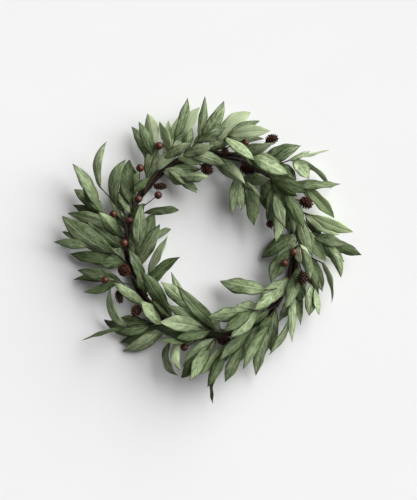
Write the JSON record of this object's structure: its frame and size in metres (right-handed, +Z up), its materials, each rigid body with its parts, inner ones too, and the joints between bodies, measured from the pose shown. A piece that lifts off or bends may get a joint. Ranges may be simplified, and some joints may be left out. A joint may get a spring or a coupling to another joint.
{
  "type": "leaf wreath",
  "caption": "Round leaf wreath with berries and cones: leafy sprays, berry twigs and cone stalks bound clockwise onto a ring of twisted canes, lying flat.",
  "frame": {"origin": "on the table under the middle of the wreath's bounding box", "axes": "+Z up from the table, which is the front of the wreath when it hangs; +Y towards the top of the wreath as pictured; +X to its right"},
  "size_m": [0.5544, 0.5544, 0.0896],
  "materials": {
    "cane": "rough dark brown bark",
    "wire": "dull brown binding wire",
    "leaf": "matte grey-green leaves, with lighter blotches and midribs",
    "berry": "satin russet red skin",
    "cone": "dull dark red-brown scales"
  },
  "bodies": {
    "root": {"berry_twig_1": "berry", "berry_twig_2": "berry", "berry_twig_3": "berry", "berry_twig_4": "berry", "berry_twig_5": "berry", "berry_twig_6": "berry", "berry_twig_7": "berry", "berry_twig_8": "berry", "berry_twig_9": "berry", "cane_1": "cane", "cane_2": "cane", "cane_3": "cane", "cone_1": "cone", "cone_10": "cone", "cone_2": "cone", "cone_3": "cone", "cone_4": "cone", "cone_5": "cone", "cone_6": "cone", "cone_7": "cone", "cone_8": "cone", "cone_9": "cone", "leafy_spray_01": "leaf", "leafy_spray_02": "leaf", "leafy_spray_03": "leaf", "leafy_spray_04": "leaf", "leafy_spray_05": "leaf", "leafy_spray_06": "leaf", "leafy_spray_07": "leaf", "leafy_spray_08": "leaf", "leafy_spray_09": "leaf", "leafy_spray_10": "leaf", "leafy_spray_11": "leaf", "leafy_spray_12": "leaf", "leafy_spray_13": "leaf", "leafy_spray_14": "leaf", "leafy_spray_15": "leaf", "leafy_spray_16": "leaf", "leafy_spray_17": "leaf", "leafy_spray_18": "leaf", "leafy_spray_19": "leaf", "leafy_spray_20": "leaf", "leafy_spray_21": "leaf", "leafy_spray_22": "leaf", "leafy_spray_23": "leaf", "leafy_spray_24": "leaf", "leafy_spray_25": "leaf", "leafy_spray_26": "leaf", "leafy_spray_27": "leaf", "leafy_spray_28": "leaf", "leafy_spray_29": "leaf", "leafy_spray_30": "leaf", "wire_tie_1": "wire", "wire_tie_2": "wire", "wire_tie_3": "wire", "wire_tie_4": "wire", "wire_tie_5": "wire", "wire_tie_6": "wire", "wire_tie_7": "wire", "wire_tie_8": "wire"}
  },
  "joints": []
}
